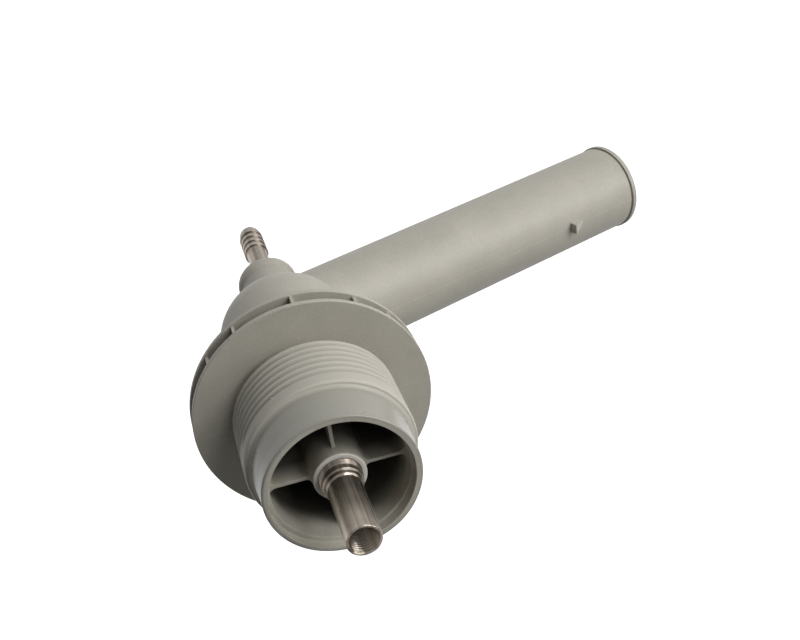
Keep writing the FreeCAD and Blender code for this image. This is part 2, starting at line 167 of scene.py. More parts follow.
def lathe(name, path, segments=SMALL_AROUND, closed=True):
    """Turns a profile about Z into a mesh object, in metres."""
    mesh = bmesh.new()
    rings = []
    for radius, height in path:
        count = 1 if radius < 1e-6 else segments
        rings.append([mesh.verts.new(round_point(radius, 2 * math.pi * index / segments, height))
                      for index in range(count)])
    pairs = list(zip(rings, rings[1:]))
    if closed:
        pairs.append((rings[-1], rings[0]))
    for lower, upper in pairs:
        if len(lower) == len(upper) > 1:
            bridge(mesh, lower, upper)
        elif len(lower) != len(upper):
            tip, ring = sorted((lower, upper), key=len)
            for index in range(segments):
                mesh.faces.new((ring[index - 1], ring[index], tip[0]))
    bmesh.ops.recalc_face_normals(mesh, faces=mesh.faces)
    return as_object(name, mesh)


def sector(name, corners, first, last, steps=48):
    """Turns a closed outline through only a part of a turn, with flat ends."""
    mesh = bmesh.new()
    rings = []
    for step in range(steps + 1):
        angle = math.radians(first + (last - first) * step / steps)
        rings.append([mesh.verts.new(round_point(radius, angle, height)) for radius, height in corners])
    for before, after in zip(rings, rings[1:]):
        bridge(mesh, before, after)
    mesh.faces.new(rings[0])
    mesh.faces.new(rings[-1])
    bmesh.ops.recalc_face_normals(mesh, faces=mesh.faces)
    return as_object(name, mesh)


def baked(piece):
    """Turns a piece and its modifiers into a plain mesh."""
    graph = bpy.context.evaluated_depsgraph_get()
    data = bpy.data.meshes.new_from_object(piece.evaluated_get(graph))
    piece.modifiers.clear()
    piece.data = data
    return piece


def cut(piece, cutter):
    """Takes a cutter's volume out of a piece and removes the cutter."""
    change = piece.modifiers.new("cut", "BOOLEAN")
    change.operation = "DIFFERENCE"
    change.solver = "EXACT"
    change.object = cutter
    baked(piece)
    bpy.data.objects.remove(cutter)
    return piece


def round_edges(piece, width, sharper_than=30):
    """Rounds the edges that bend by more than an angle, and bakes the piece."""
    change = piece.modifiers.new("edge", "BEVEL")
    change.width = width
    change.segments = 2
    change.limit_method = "ANGLE"
    change.angle_limit = math.radians(sharper_than)
    return baked(piece)


def join(first, *others, weld=0.0):
    """One object from several, with the first one's name; weld closes seams up to that distance."""
    mesh = bmesh.new()
    for piece in (first, *others):
        mesh.from_mesh(piece.data)
    if weld:
        bmesh.ops.remove_doubles(mesh, verts=mesh.verts, dist=weld)
        bmesh.ops.recalc_face_normals(mesh, faces=mesh.faces)
    data = bpy.data.meshes.new(first.name)
    mesh.to_mesh(data)
    mesh.free()
    for piece in others:
        bpy.data.objects.remove(piece)
    first.data = data
    return first


def soften(piece, angle=35):
    """Smooth shading that keeps flat faces flat and sharp edges sharp."""
    piece.data.shade_smooth()
    piece.data.set_sharp_from_angle(angle=math.radians(angle))
    change = piece.modifiers.new("even shading", "WEIGHTED_NORMAL")
    change.keep_sharp = True
    change.weight = 80
    return piece


def finish(piece, material, replaced, angle=35):
    """Gives a finished piece its one material, its shading and its place in the frame."""
    piece.data.materials.clear()
    piece.data.materials.append(material)
    for face in piece.data.polygons:
        face.material_index = 0
    soften(piece, angle)
    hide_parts(replaced)
    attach(piece, "root")
    print(piece.name, "replaces", replaced, "with", len(piece.data.polygons), "faces")


# %% [markdown]
# The camera stands where the photographer stood: above the nozzle, turned so that the feed tube
# runs to the upper right. Three directions fix it, and the lens gives the photograph's field.

# %% Camera
CAMERA_PLACE = Vector((-33.94, 257.52, 373.99)) * MM
LOOK_ALONG = Vector((0.16839, -0.50960, -0.84377))
PICTURE_RIGHT = Vector((0.95569, -0.12526, 0.26639))
LENS = 49.5

camera_data = bpy.data.cameras.new("camera")
camera_data.lens = LENS
camera_data.sensor_width = 36
camera_data.clip_start = 0.01
camera = in_scene("camera", camera_data)
back = -LOOK_ALONG.normalized()
right = (PICTURE_RIGHT - back * PICTURE_RIGHT.dot(back)).normalized()
up = back.cross(right)
turned = Matrix((right, up, back)).transposed().to_4x4()
camera.matrix_world = Matrix.Translation(CAMERA_PLACE) @ turned
bpy.context.scene.camera = camera
bpy.context.scene.view_settings.view_transform = "Standard"
print("camera", [round(value, 1) for value in CAMERA_PLACE / MM])

# %% [markdown]
# Materials are small trees of nodes. The same few nodes come up in all of them: a noise, a sum, a
# stretch of a value from one span to another, and a bump that tilts the surface by a height. Short
# helpers for these keep each material readable, and they serve Geometry Nodes as well. A region of a
# piece is a mask, a number between 0 and 1 that fades in above one size and out above another, and
# masks are combined by multiplying them.

# %% Node helpers
def new_material(name):
    material = bpy.data.materials.new(name)
    material.use_nodes = True
    return material, material.node_tree


def fill(tree, place, value):
    """Gives an input its value: a link from a socket, or a fixed number or colour."""
    if isinstance(value, bpy.types.NodeSocket):
        tree.links.new(value, place)
    elif value is not None:
        place.default_value = value


def add(tree, kind, **inputs):
    """Adds a node, fills its inputs by name and gives its outputs."""
    node = tree.nodes.new(kind)
    for name, value in inputs.items():
        fill(tree, node.inputs[name.replace("_", " ")], value)
    return node.outputs


def noise(tree, source, scale, detail=4.0, roughness=0.5):
    return add(tree, "ShaderNodeTexNoise", Vector=source, Scale=scale, Detail=detail,
               Roughness=roughness)["Fac"]


def maths(tree, operation, first, second=None, third=None, clamp=False):
    node = tree.nodes.new("ShaderNodeMath")
    node.operation = operation
    node.use_clamp = clamp
    for place, value in zip(node.inputs, (first, second, third)):
        fill(tree, place, value)
    return node.outputs[0]


def spread(tree, value, low, high, to_low, to_high):
    """A value's stretch between two numbers, brought to the span between two others."""
    return add(tree, "ShaderNodeMapRange", Value=value, From_Min=low, From_Max=high,
               To_Min=to_low, To_Max=to_high)["Result"]


def above(tree, value, low, high):
    """0 below the first size and 1 above the second, both in millimetres."""
    return spread(tree, value, low * MM, high * MM, 0, 1)


def below(tree, value, low, high):
    """1 below the first size and 0 above the second, both in millimetres."""
    return spread(tree, value, low * MM, high * MM, 1, 0)


def product(tree, first, *others):
    for value in others:
        first = maths(tree, "MULTIPLY", first, value)
    return first


def axis_distance(tree, x, y):
    squares = [maths(tree, "MULTIPLY", part, part) for part in (x, y)]
    return maths(tree, "SQRT", maths(tree, "ADD", *squares))


def parts(tree, place):
    return add(tree, "ShaderNodeSeparateXYZ", Vector=place)


def vector(tree, x=0.0, y=0.0, z=0.0):
    return add(tree, "ShaderNodeCombineXYZ", X=x, Y=y, Z=z)[0]


def bump(tree, height, distance, strength, under=None):
    """Surface normal tilted by a height, on top of the bump under it if there is one."""
    return add(tree, "ShaderNodeBump", Height=height, Distance=distance, Strength=strength,
               Normal=under)[0]


def blend(tree, factor, first, second):
    """Colour between two others; each is a socket or a fixed colour."""
    node = tree.nodes.new("ShaderNodeMix")
    node.data_type = "RGBA"
    for name, value in (("Factor", factor), ("A", first), ("B", second)):
        fill(tree, node.inputs[name], value)
    return node.outputs["Result"]


# %% [markdown]
# Moulded polypropylene is a soft grey with a faint warm cast. Its skin is never even: the mould's
# texture scatters the light and the tone drifts a little. Regions differ too. The nozzle was polished
# in the mould, because the wash arm turns on it, while the collar and its thread stayed matt. The
# material finds these regions by height and by distance from the axis.
# Where the two halves of the mould met, a fine raised line runs round the part in the plane of both
# axes, so the material draws it wherever the surface crosses y = 0, and paints it lighter as a painted
# highlight along its crest.
# The water way below the webs gets a painted shade, a much darker tone where little light finds its way in,
# and the thread's grooves get a painted shade in their depths. The hub's front gets painted light: it is
# painted paler, so that it looks as brightly lit as the flange.

# %% Grey moulding material
GREY_DARK = (0.402, 0.382, 0.326, 1)
GREY_LIGHT = (0.503, 0.480, 0.415, 1)
GREY_MATT = (0.525, 0.500, 0.440, 1)
GREY_POLISHED = (0.340, 0.330, 0.284, 1)
INSIDE_SHADE_GREY = (0.115, 0.108, 0.092, 1)
GROOVE_SHADE_GREY = (0.385, 0.366, 0.316, 1)
HUB_PAINTED_LIGHT = (0.640, 0.620, 0.560, 1)
SEAM_HIGHLIGHT_GREY = (0.750, 0.730, 0.680, 1)
SPECK_SHARE = 0.45
DRIFT_SHARE = 0.65
SATIN_ROUGHNESS = (0.42, 0.54)
POLISHED_CHANGE = -0.19
COLLAR_CHANGE = 0.14
SEAM_HALF_WIDTH = 0.18 * MM
SEAM_HEIGHT = 0.12 * MM
SEAM_SHARE = 0.35
GRAIN_HEIGHT = 0.02 * MM
WAVE_HEIGHT = 0.05 * MM
DEEP_FOOT = -50.0
DEEP_TOP = 32.0

moulding, tree = new_material("grey_moulding")
surface = tree.nodes["Principled BSDF"]
place = add(tree, "ShaderNodeTexCoord")["Object"]
x, y, z = parts(tree, place)
from_axis = axis_distance(tree, x, y)

above_collar = above(tree, z, COLLAR_TOP, COLLAR_TOP + COVE_HEIGHT)
outside_wall = above(tree, from_axis, NOZZLE_RADIUS - 1.4, NOZZLE_RADIUS - 0.7)
inside_collar = below(tree, from_axis, COVE_RADIUS - 1.0, COVE_RADIUS - 0.4)
polished = product(tree, above_collar, outside_wall, inside_collar)
on_collar = product(tree, above(tree, from_axis, COVE_RADIUS - 0.6, COVE_RADIUS),
                    below(tree, from_axis, COLLAR_RADIUS + 0.6, COLLAR_RADIUS + 1.0),
                    above(tree, z, RELIEF_TOP - 0.8, RELIEF_TOP))
# Painted shade: the deep part of the thread's grooves is darkened, as if in their own shadow.
painted_groove_shade = product(tree, on_collar,
                    below(tree, from_axis, COLLAR_RADIUS - 0.9, COLLAR_RADIUS - 0.15),
                    below(tree, z, THREAD_TOP, THREAD_TOP + 0.4))
# Painted shade: the water way below the webs is darkened where little light reaches it.
painted_inside_shade = product(tree, below(tree, from_axis, BORE_RADIUS + 0.2, BORE_RADIUS + 0.4),
                      below(tree, z, DEEP_TOP, WEB_TOP - 0.3),
                      above(tree, z, DEEP_FOOT, DEEP_FOOT + 5))
# Painted light: the hub's front is painted paler, so that it looks as brightly lit as the flange.
painted_hub_light = product(tree, below(tree, from_axis, HUB_RADIUS, HUB_RADIUS + 0.3),
                 above(tree, z, HUB_FRONT - 0.8, HUB_FRONT - 0.3))

drift = noise(tree, place, scale=45, detail=5, roughness=0.62)
speck = noise(tree, place, scale=900, detail=2)
mottle = maths(tree, "MULTIPLY_ADD", speck, SPECK_SHARE, maths(tree, "MULTIPLY", drift, DRIFT_SHARE))
tone = blend(tree, spread(tree, mottle, 0.35, 0.75, 0, 1), GREY_DARK, GREY_LIGHT)
for region, colour in ((on_collar, GREY_MATT), (polished, GREY_POLISHED), (painted_inside_shade, INSIDE_SHADE_GREY),
                       (painted_groove_shade, GROOVE_SHADE_GREY), (painted_hub_light, HUB_PAINTED_LIGHT)):
    tone = blend(tree, region, tone, colour)

satin = spread(tree, drift, 0.3, 0.7, *SATIN_ROUGHNESS)
gloss = maths(tree, "MULTIPLY_ADD", polished, POLISHED_CHANGE, satin)
rough = maths(tree, "MULTIPLY_ADD", on_collar, COLLAR_CHANGE, gloss)
tree.links.new(rough, surface.inputs["Roughness"])

seam = spread(tree, maths(tree, "ABSOLUTE", y), 0, SEAM_HALF_WIDTH, 1, 0)
# Painted highlight: the seam's line is painted lighter, as the light its crest catches.
painted_seam_highlight = maths(tree, "MULTIPLY", seam, SEAM_SHARE)
tree.links.new(blend(tree, painted_seam_highlight, tone, SEAM_HIGHLIGHT_GREY), surface.inputs["Base Color"])
grain = noise(tree, place, scale=1400, detail=3, roughness=0.6)
swell = noise(tree, place, scale=60, detail=2, roughness=0.4)
skin = bump(tree, grain, GRAIN_HEIGHT, strength=0.5)
waves = bump(tree, swell, WAVE_HEIGHT, strength=0.35, under=skin)
tree.links.new(bump(tree, seam, SEAM_HEIGHT, strength=0.7, under=waves), surface.inputs["Normal"])
print("grey moulding material ready")

# %% [markdown]
# The steel parts are turned from stainless bar, then polished. Turning leaves very fine rings round
# the axis, too fine to see one by one. Together they smear each reflection along the axis, which gives
# a turned rod its long streaks. The shader does this with anisotropy: its tangent runs along the
# profile, and that is the cross product of the surface's normal and the direction round the axis.
# Only the spindle's long shaft was polished. Its shoulder, its inside and the tail were left as they
# came from the lathe, so the material makes them rougher. The base colour also carries painted
# reflections: dark and bright streaks along the axis, with a faint random drift of tone among them.

# %% Turned steel material
STEEL_DARK = (0.200, 0.174, 0.145, 1)
STEEL_LIGHT = (0.600, 0.530, 0.450, 1)
POLISHED_RADIUS = 6.7
POLISHED_ROUGHNESS = (0.24, 0.32)
TURNED_CHANGE = 0.06
STREAK_SHARE = 0.88
STREAK_SCALE = (230, 230, 2)
RING_SCALE = (40, 40, 9000)
RING_HEIGHT = 0.004 * MM

steel, tree = new_material("turned_steel")
surface = tree.nodes["Principled BSDF"]
surface.inputs["Metallic"].default_value = 1
place = add(tree, "ShaderNodeTexCoord")["Object"]
x, y, _ = parts(tree, place)
around = vector(tree, maths(tree, "MULTIPLY", y, -1.0), x)
tangent = tree.nodes.new("ShaderNodeVectorMath")
tangent.operation = "CROSS_PRODUCT"
tree.links.new(around, tangent.inputs[0])
tree.links.new(add(tree, "ShaderNodeNewGeometry")["Normal"], tangent.inputs[1])
tree.links.new(tangent.outputs[0], surface.inputs["Tangent"])
surface.inputs["Anisotropic"].default_value = 0.8


def stretched(scale):
    """Noise that is squeezed or stretched along the axis."""
    squeezed = add(tree, "ShaderNodeMapping", Vector=place, Scale=scale)[0]
    return noise(tree, squeezed, scale=1, detail=3, roughness=0.6)


rings = stretched(RING_SCALE)
streaks = stretched(STREAK_SCALE)
cloud = noise(tree, place, scale=120, roughness=0.55)
clouded = maths(tree, "MULTIPLY", cloud, 1 - STREAK_SHARE)
painted_streaks_and_wear = maths(tree, "MULTIPLY_ADD", streaks, STREAK_SHARE, clouded)
from_axis = axis_distance(tree, x, y)
off_shaft = maths(tree, "ABSOLUTE", maths(tree, "SUBTRACT", from_axis, POLISHED_RADIUS * MM))
as_turned = above(tree, off_shaft, 0.2, 0.4)
polish = spread(tree, painted_streaks_and_wear, 0.3, 0.7, *POLISHED_ROUGHNESS)
rough = maths(tree, "MULTIPLY_ADD", as_turned, TURNED_CHANGE, polish)
# Painted reflections: the base colour runs from STEEL_DARK to STEEL_LIGHT along the axial streaks, standing
# in for the dark and bright reflections of a turned rod.
tint = blend(tree, spread(tree, painted_streaks_and_wear, 0.40, 0.60, 0, 1), STEEL_DARK, STEEL_LIGHT)
tree.links.new(tint, surface.inputs["Base Color"])
tree.links.new(rough, surface.inputs["Roughness"])
tree.links.new(bump(tree, rings, RING_HEIGHT, strength=0.5), surface.inputs["Normal"])
print("steel material ready")

# %% [markdown]
# The two seals are rubber rings hidden in their grooves. They keep the frame's own meshes, and only
# get a matt black rubber whose fine grain breaks up the shine.

# %% Rubber material and the seals
RUBBER_BLACK = (0.020, 0.020, 0.021, 1)
RUBBER_ROUGHNESS = (0.50, 0.75)

rubber, tree = new_material("seal_rubber")
surface = tree.nodes["Principled BSDF"]
place = add(tree, "ShaderNodeTexCoord")["Object"]
surface.inputs["Base Color"].default_value = RUBBER_BLACK
bloom = noise(tree, place, scale=300)
tree.links.new(spread(tree, bloom, 0.3, 0.7, *RUBBER_ROUGHNESS), surface.inputs["Roughness"])
grain = noise(tree, place, scale=2500)
tree.links.new(bump(tree, grain, 0.01 * MM, strength=0.5), surface.inputs["Normal"])
for name in ("spindle_seal", "tail_seal"):
    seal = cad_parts[name]
    seal.data.materials.clear()
    seal.data.materials.append(rubber)
    print(name, "is rubber,", len(seal.data.polygons), "faces")

# %% [markdown]
# Geometry Nodes will make whatever repeats or follows a rule: the threads, the webs and the ribs. Each
# tree here starts with named inputs and ends by making its copies real and giving them the material,
# because an export keeps only real meshes. A tree's result is then baked into a plain mesh.

# %% Tree helpers
def new_tree(name, sizes=(), whole=(), takes_mesh=True):
    """Tree with named inputs, and the sockets that give them inside the tree."""
    tree = bpy.data.node_groups.new(name, "GeometryNodeTree")
    if takes_mesh:
        tree.interface.new_socket("Geometry", in_out="INPUT", socket_type="NodeSocketGeometry")
    for kind, titles in (("Float", sizes), ("Int", whole), ("Material", ("Material",))):
        for title in titles:
            tree.interface.new_socket(title, in_out="INPUT", socket_type="NodeSocket" + kind)
    tree.interface.new_socket("Geometry", in_out="OUTPUT", socket_type="NodeSocketGeometry")
    return tree, add(tree, "NodeGroupInput")


def end_tree(tree, given, geometry):
    real = add(tree, "GeometryNodeRealizeInstances", Geometry=geometry)[0]
    painted = add(tree, "GeometryNodeSetMaterial", Geometry=real, Material=given["Material"])[0]
    add(tree, "NodeGroupOutput", Geometry=painted)


def with_tree(piece, tree, **values):
    """Adds a Geometry Nodes tree to a piece, sets its inputs by name and bakes it."""
    change = piece.modifiers.new(tree.name, "NODES")
    change.node_group = tree
    for item in tree.interface.items_tree:
        key = item.name.replace(" ", "_")
        if item.in_out == "INPUT" and key in values:
            change[item.identifier] = values[key]
    return baked(piece)


# %% [markdown]
# A screw thread is a groove that climbs as it goes round. To be crisp, the rows of the mesh must
# climb with it. So a Geometry Nodes tree starts from a flat grid, rolls it into a wall whose rows
# rise by one pitch per turn, and presses a groove between the narrow crests. Each groove rises gently
# from the crest below it and ends steeply under the next one, so its deepest line lies above its middle.
# Points below and above the wall are held at its edges, which gives a clean start and end.

# %% Collar thread tree
RUN_OUT = 0.02
WELD = 0.002 * MM
HAIR = 0.001 * MM


def collar_thread_tree():
    tree, given = new_tree(
        "collar_thread", ("Radius", "Pitch", "Low", "High", "Middle", "First", "Last", "Depth",
                          "Half Width", "Lean"), whole=("Columns", "Rows"), takes_mesh=False)
    calc = partial(maths, tree)
    columns, rows = (calc("ADD", given[name], 1) for name in ("Columns", "Rows"))
    grid = add(tree, "GeometryNodeMeshGrid", Size_X=1, Size_Y=1, Vertices_X=columns,
               Vertices_Y=rows)["Mesh"]
    grid_x, grid_y, _ = parts(tree, add(tree, "GeometryNodeInputPosition")[0])
    turned = calc("ADD", grid_x, 0.5)
    risen = calc("ADD", grid_y, 0.5)

    span = calc("ADD", calc("SUBTRACT", given["High"], given["Low"]), given["Pitch"])
    start = calc("SUBTRACT", given["Low"], given["Pitch"])
    row_height = calc("MULTIPLY_ADD", risen, span, start)
    height = calc("MULTIPLY_ADD", turned, given["Pitch"], row_height)
    held = calc("MINIMUM", calc("MAXIMUM", height, given["Low"]), given["High"])
    inside = calc("MULTIPLY", calc("GREATER_THAN", height, calc("ADD", given["Low"], HAIR)),
                  calc("LESS_THAN", height, calc("SUBTRACT", given["High"], HAIR)))

    pitches = calc("DIVIDE", calc("SUBTRACT", row_height, given["Middle"]), given["Pitch"])
    nearest = calc("ROUND", pitches)
    off_middle = calc("MULTIPLY", calc("SUBTRACT", pitches, nearest), given["Pitch"])
    off_deepest = calc("ADD", off_middle, given["Lean"])
    lower_width = calc("SUBTRACT", given["Half Width"], given["Lean"])
    upper_width = calc("ADD", given["Half Width"], given["Lean"])
    lower_flank = calc("DIVIDE", calc("MULTIPLY", off_deepest, -1.0), lower_width)
    upper_flank = calc("DIVIDE", off_deepest, upper_width)
    share = calc("MAXIMUM", lower_flank, upper_flank)
    hollow = calc("MAXIMUM", calc("SUBTRACT", 1.0, calc("MULTIPLY", share, share)), 0.0)
    turn = calc("ADD", nearest, turned)
    run_in = calc("DIVIDE", calc("SUBTRACT", turn, given["First"]), RUN_OUT, clamp=True)
    run_out = calc("DIVIDE", calc("SUBTRACT", given["Last"], turn), RUN_OUT, clamp=True)
    depth = product(tree, hollow, run_in, run_out, inside, given["Depth"])
    radius = calc("SUBTRACT", given["Radius"], depth)

    angle = calc("MULTIPLY", turned, 2 * math.pi)
    place = vector(tree, calc("MULTIPLY", radius, calc("COSINE", angle)),
                   calc("MULTIPLY", radius, calc("SINE", angle)), held)
    rolled = add(tree, "GeometryNodeSetPosition", Geometry=grid, Position=place)[0]
    welded = add(tree, "GeometryNodeMergeByDistance", Geometry=rolled, Distance=WELD)[0]
    end_tree(tree, given, welded)
    return tree


# %% Thread wall
THREAD_PITCH = 4.0
THREAD_DEPTH = 1.45
GROOVE_HALF = 1.65
GROOVE_LEAN = -0.35
GROOVE_MIDDLE = 5.4
GROOVE_FIRST = -0.42
GROOVE_LAST = 5.45
ROWS_PER_PITCH = 20

thread_rows = round((THREAD_TOP - RELIEF_TOP + THREAD_PITCH) / THREAD_PITCH * ROWS_PER_PITCH)
thread = with_tree(as_object("collar_thread", bmesh.new()), collar_thread_tree(),
                   Radius=COLLAR_RADIUS * MM, Pitch=THREAD_PITCH * MM, Low=RELIEF_TOP * MM,
                   High=THREAD_TOP * MM, Middle=GROOVE_MIDDLE * MM, First=GROOVE_FIRST,
                   Last=GROOVE_LAST, Depth=THREAD_DEPTH * MM, Half_Width=GROOVE_HALF * MM,
                   Lean=GROOVE_LEAN * MM, Columns=SHELL_AROUND, Rows=thread_rows, Material=moulding)
print("thread wall", len(thread.data.polygons), "faces")

# %% [markdown]
# The rest of the shell is one profile in two halves. The outer half starts under the thread, goes
# over both flange discs, the elbow, its dome and the boss with its raised rim, and up the tail's hole.

# %% Outside of the shell
RELIEF_RADIUS = 31.0
DISC = 2.3
DISC_GAP = 6.2
GAP_LOW = -(DISC + DISC_GAP)
FLANGE_BACK = GAP_LOW - DISC
ELBOW_RADIUS = 31.0
DOME_CENTRE = -59.2
BOSS_RADIUS = 13.2
BOSS_END = -118.0
BEAD_RADIUS = 14.7
BEAD_HEIGHT = 3.7
BEAD_SLOPE = 2.4
TAIL_HOLE = 6.1
TAIL_SEAT = 20.0
boss_meets_dome = math.degrees(math.asin(BOSS_RADIUS / ELBOW_RADIUS))

outside = rounded([
    (COLLAR_RADIUS, RELIEF_TOP, 0),
    (RELIEF_RADIUS, RELIEF_TOP, 0.3),
    (RELIEF_RADIUS, 0, 0.8),
    (FLANGE_RADIUS, 0, 0.45),
    (FLANGE_RADIUS, -DISC, 0.35),
    (ELBOW_RADIUS, -DISC, 0.5),
    (ELBOW_RADIUS, GAP_LOW, 0.5),
    (FLANGE_RADIUS, GAP_LOW, 0.35),
    (FLANGE_RADIUS, FLANGE_BACK, 0.45),
    (ELBOW_RADIUS, FLANGE_BACK, 1.0),
    (ELBOW_RADIUS, DOME_CENTRE, 0),
])
dome = arc((0, DOME_CENTRE), ELBOW_RADIUS, -3, -90 + boss_meets_dome, 30)
boss = rounded([
    (BOSS_RADIUS, DOME_CENTRE - ELBOW_RADIUS * math.cos(math.radians(boss_meets_dome)), 0),
    (BOSS_RADIUS, BOSS_END + BEAD_HEIGHT + BEAD_SLOPE, 2.0),
    (BEAD_RADIUS, BOSS_END + BEAD_HEIGHT, 0.35),
    (BEAD_RADIUS, BOSS_END, 0.8),
    (TAIL_HOLE, BOSS_END, 0.3),
    (TAIL_HOLE, BOSS_END + TAIL_SEAT, 0),
])[1:]
print("outside", len(outside + dome + boss), "points")

# %% [markdown]
# The inner half comes back through the chamber's bowl and up the water way, over the nozzle's rim and,
# through a small cove at the nozzle's foot, down to the smooth band above the thread. The thread's
# wall then closes the shell.

# %% Inside of the shell
CHAMBER_RADIUS = 28.0
MOUTH_RADIUS = 28.1
LEDGE = NOZZLE_TOP - 4.5
TAPER_END = 46.7
NOZZLE_FOOT = 31.8
COLLAR_EDGE_RADIUS = 33.9
hole_meets_dome = math.degrees(math.acos((TAIL_HOLE - 0.5) / CHAMBER_RADIUS))

inside_dome = arc((0, DOME_CENTRE), CHAMBER_RADIUS, -hole_meets_dome, -3, 26)
inside = rounded([
    (CHAMBER_RADIUS, DOME_CENTRE, 0),
    (CHAMBER_RADIUS, FLANGE_BACK - 2 * (CHAMBER_RADIUS - BORE_RADIUS), 1.5),
    (BORE_RADIUS, FLANGE_BACK, 1.5),
    (BORE_RADIUS, LEDGE, 0.3),
    (MOUTH_RADIUS, LEDGE, 0.1),
    (MOUTH_RADIUS, NOZZLE_TOP, 0.3),
    (NOZZLE_RADIUS, NOZZLE_TOP, 0.8),
    (NOZZLE_RADIUS, TAPER_END, 6.0),
    (NOZZLE_FOOT, COLLAR_TOP + COVE_HEIGHT, 0.5),
    (NOZZLE_FOOT + 0.35, COLLAR_TOP + 0.7, 0.6),
    (COVE_RADIUS, COLLAR_TOP + 0.1, 0.4),
    (COLLAR_EDGE_RADIUS, COLLAR_TOP, 0.25),
    (COLLAR_RADIUS, COLLAR_TOP - 1.2, 0.8),
    (COLLAR_RADIUS, THREAD_TOP, 0),
])
shell = lathe("moulding", outside + dome + boss + inside_dome + inside, SHELL_AROUND, closed=False)
shell = join(shell, thread, weld=1.5 * WELD)
print("shell", len(shell.data.polygons), "faces")

# %% [markdown]
# A quarter of the rim has a recess inside, down to the ledge. It is easiest to cut: a block with the
# recess's outline, turned through that quarter only, is taken out of the shell. Then the rim gets its
# slight waviness, since the moulding shrank a little more over each web than between them.

# %% Moulding, the rim's recess and wave
NOTCH_RADIUS = 29.1
NOTCH_FIRST = 180
NOTCH_LAST = 270
NOTCH_LIFT = 0.03
RIM_WAVE = 0.35

notch = sector("notch", [(MOUTH_RADIUS - 1, LEDGE + NOTCH_LIFT), (NOTCH_RADIUS, LEDGE + NOTCH_LIFT),
                         (NOTCH_RADIUS, NOZZLE_TOP + 1), (MOUTH_RADIUS - 1, NOZZLE_TOP + 1)],
               NOTCH_FIRST, NOTCH_LAST)
shell = cut(shell, notch)
for point in shell.data.vertices:
    height = point.co.z / MM
    if height > TAPER_END:
        share = (height - TAPER_END) / (NOZZLE_TOP - TAPER_END)
        over_web = (1 + math.cos(4 * math.atan2(point.co.y, point.co.x))) / 2
        point.co.z -= RIM_WAVE * over_web * share ** 2 * MM
print("shell with recess", len(shell.data.polygons), "faces")

# %% [markdown]
# The feed tube leaves the elbow at a slope. It is turned about its own axis and then laid in place.
# Its bore is taken out of the shell's wall, and the chamber's volume out of the tube, so that water
# could really pass and nothing sticks into the chamber.

# %% Moulding, feed tube
TUBE_RADIUS = 22.0
TUBE_BORE = 19.0
TUBE_DROP = -67.9
TUBE_TILT = math.radians(19.5)
TUBE_LENGTH = 204.2
END_BEAD_RADIUS = 22.6
END_BEAD_LENGTH = 2.6
END_GROOVE_WIDTH = 0.9
END_GROOVE_RADIUS = 21.4
CUT_MARGIN = 0.3
BORE_CUT = 60
CHAMBER_CUT_TOP = FLANGE_BACK - 6


def lay_on_tube(piece):
    """Moves a mesh that was made along Z onto the feed tube's axis, with X pointing up."""
    axis = Vector((math.cos(TUBE_TILT), 0, -math.sin(TUBE_TILT)))
    top = Vector((math.sin(TUBE_TILT), 0, math.cos(TUBE_TILT)))
    side = axis.cross(top)
    turned = Matrix((top, side, axis)).transposed().to_4x4()
    piece.data.transform(Matrix.Translation((0, 0, TUBE_DROP * MM)) @ turned)
    piece.data.update()
    return piece


groove_place = TUBE_LENGTH - END_BEAD_LENGTH - END_GROOVE_WIDTH
bead_place = TUBE_LENGTH - END_BEAD_LENGTH
tube = lay_on_tube(lathe("feed_tube", rounded([
    (TUBE_RADIUS, 0, 0),
    (TUBE_RADIUS, groove_place, 0.2),
    (END_GROOVE_RADIUS, groove_place, 0.1),
    (END_GROOVE_RADIUS, bead_place, 0.1),
    (END_BEAD_RADIUS, bead_place, 0.3),
    (END_BEAD_RADIUS, TUBE_LENGTH, 0.6),
    (TUBE_BORE, TUBE_LENGTH, 0.4),
    (TUBE_BORE, 0, 0),
]), TUBE_AROUND))
hollow = CHAMBER_RADIUS + CUT_MARGIN
chamber = lathe("chamber", [(0, CHAMBER_CUT_TOP), (hollow, CHAMBER_CUT_TOP)]
                + arc((0, DOME_CENTRE), hollow, 0, -90, 32)[:-1] + [(0, DOME_CENTRE - hollow)],
                CUTTER_AROUND)
tube = cut(tube, chamber)
wide = TUBE_BORE + CUT_MARGIN
bore = lay_on_tube(lathe("bore", [(0, 0), (wide, 0), (wide, BORE_CUT), (0, BORE_CUT)],
                         CUTTER_AROUND))
shell = cut(shell, bore)
print("tube", len(tube.data.polygons), "faces, shell", len(shell.data.polygons))

# %% [markdown]
# Water from the hose tail rises to the spindle through a duct in the middle of the wash water's way.
# The duct and the hub at its top are one turned profile, with a seat for the spindle's shoulder.

# %% Moulding, duct and hub
DUCT_RADIUS = 11.4
DUCT_TAPER_END = 16.5
SEAT_RADIUS = 8.6
SEAT_DEPTH = 6.0
duct_foot = BOSS_END + TAIL_SEAT

duct = lathe("duct", rounded([
    (SEAT_RADIUS, HUB_FRONT - SEAT_DEPTH, 0),
    (SEAT_RADIUS, HUB_FRONT, 0.25),
    (HUB_RADIUS, HUB_FRONT, 0.6),
    (DUCT_RADIUS, DUCT_TAPER_END, 4),
    (DUCT_RADIUS, duct_foot, 0),
    (TAIL_HOLE, duct_foot, 0),
    (TAIL_HOLE, HUB_FRONT - SEAT_DEPTH, 0),
]))
print("duct", len(duct.data.polygons), "faces")

# %% [markdown]
# Four webs hold the hub, and five ribs each side hold the flange's two discs apart. They repeat, so
# each set is one small shape that Geometry Nodes copies into place. A web swells where it meets the
# hub and the wall, since moulded corners are filled with a round so that the plastic flows.

